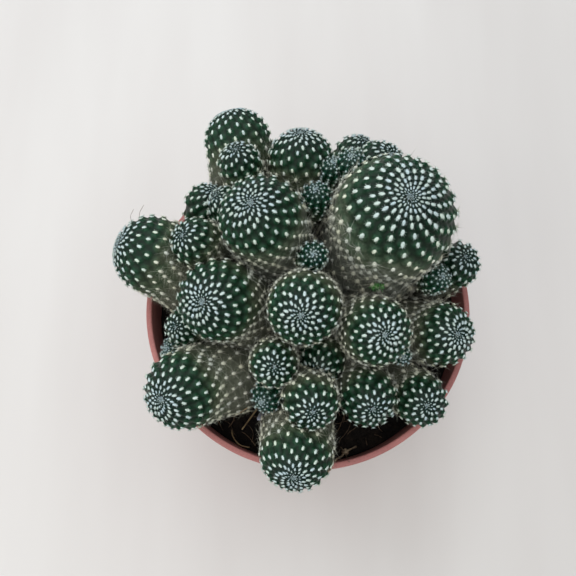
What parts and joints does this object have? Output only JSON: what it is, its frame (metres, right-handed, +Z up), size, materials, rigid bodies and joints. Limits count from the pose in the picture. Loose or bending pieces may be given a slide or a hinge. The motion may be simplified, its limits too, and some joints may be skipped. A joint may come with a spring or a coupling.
{
  "type": "potted clump of round cactus heads",
  "caption": "Clump of small round spiny cactus heads that leans out over the rim of a tapered plastic flower pot filled with soil.",
  "frame": {"origin": "middle of the pot's flat underside", "axes": "+Z up along the pot's axis; the picture looks along +Y from above, with +X to its right"},
  "size_m": [0.1448, 0.1555, 0.1622],
  "materials": {
    "pot_plastic": "dusky brick-red moulded polypropylene, matt",
    "potting_soil": "dark crumbly peat soil, fully matt",
    "cactus_skin": "dark green waxy cactus skin, corky brown low on the flanks, cream areoles with short pale spines",
    "pup_skin": "fresher teal-green cactus skin with fine white spines"
  },
  "bodies": {
    "root": {"pot": "pot_plastic", "soil": "potting_soil", "head_01": "cactus_skin", "head_02": "cactus_skin", "head_03": "cactus_skin", "head_04": "cactus_skin", "head_05": "cactus_skin", "head_06": "cactus_skin", "head_07": "cactus_skin", "head_08": "cactus_skin", "head_09": "cactus_skin", "head_10": "cactus_skin", "head_11": "cactus_skin", "head_12": "cactus_skin", "head_13": "cactus_skin", "head_14": "cactus_skin", "head_15": "cactus_skin", "head_16": "cactus_skin", "head_17": "cactus_skin", "head_18": "cactus_skin", "head_19": "cactus_skin", "head_20": "cactus_skin", "head_21": "cactus_skin", "head_22": "cactus_skin", "head_23": "cactus_skin", "head_24": "cactus_skin", "pup_01": "pup_skin", "pup_02": "pup_skin", "pup_03": "pup_skin", "pup_04": "pup_skin", "pup_05": "pup_skin", "pup_06": "pup_skin", "pup_07": "pup_skin", "pup_08": "pup_skin"}
  },
  "joints": []
}
